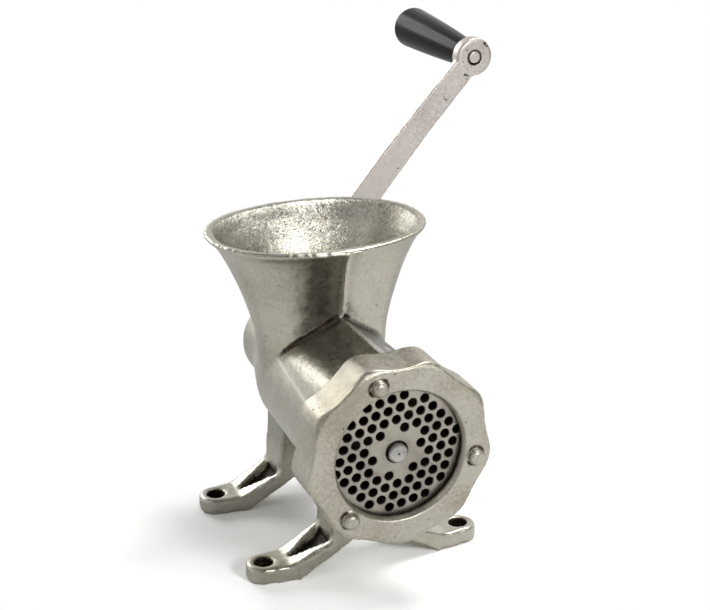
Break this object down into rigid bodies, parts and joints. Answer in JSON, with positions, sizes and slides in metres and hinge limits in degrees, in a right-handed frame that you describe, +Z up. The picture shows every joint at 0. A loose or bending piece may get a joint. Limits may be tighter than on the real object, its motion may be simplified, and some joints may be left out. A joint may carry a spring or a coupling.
{
  "type": "meat grinder",
  "caption": "Bolt-down hand crank meat grinder in tinned cast iron: open hopper, four feet, perforated plate behind a lobed ring nut, worm, knife and a long crank with a black grip",
  "frame": {"origin": "middle of the four foot holes, on the bench", "axes": "+Z up, +Y along the barrel axis towards the crank, the plate faces -Y"},
  "size_m": [0.2173, 0.2977, 0.2678],
  "materials": {
    "tinned_iron": "hot-dipped tin over rough sand casting, worn, brown in the recesses",
    "tinned_iron_ring": "hot-dipped tin, satin, mottled",
    "tinned_iron_worm": "hot-dipped tin, worn bright on the flight",
    "crank_iron": "dull tinned iron with dark pits",
    "plate_steel": "ground face, lightly stained",
    "bare_steel": "turned and worn",
    "fibre": "hard fibre washer",
    "grip_black": "turned wood under black lacquer, glossy, scuffed"
  },
  "bodies": {
    "casting": {"body_casting": "tinned_iron", "plate_pin": "bare_steel", "thrust_washer": "fibre"},
    "plate": {"grinding_plate": "plate_steel"},
    "ring": {"ring_nut": "tinned_iron_ring"},
    "drive": {"feed_worm": "tinned_iron_worm", "worm_stud": "bare_steel", "cutter_knife": "bare_steel", "crank_arm": "crank_iron", "crank_washer": "bare_steel", "crank_screw": "crank_iron", "grip_washer": "bare_steel", "handle_pin": "bare_steel"},
    "grip": {"handle_grip": "grip_black"}
  },
  "joints": [
    {"name": "crank_spin", "type": "hinge", "parent": "casting", "child": "drive", "pos_m": [0, 0.07, 0.0905], "axis": [0, 1, 0], "continuous": true},
    {"name": "grip_spin", "type": "hinge", "parent": "drive", "child": "grip", "pos_m": [0.13279, 0.13, 0.25448], "axis": [0, 1, 0], "continuous": true},
    {"name": "plate_slide", "type": "slide", "parent": "casting", "child": "plate", "axis": [0, -1, 0], "range_m": [0, 0.0141]},
    {"name": "ring_turn", "type": "hinge", "parent": "plate", "child": "ring", "pos_m": [0, -0.09, 0.0905], "axis": [0, -1, 0], "range_deg": [0, 1260]}
  ],
  "couplings": [
    {"joint": "plate_slide", "follows": "ring_turn", "m_per_rad": 0.00063662}
  ]
}
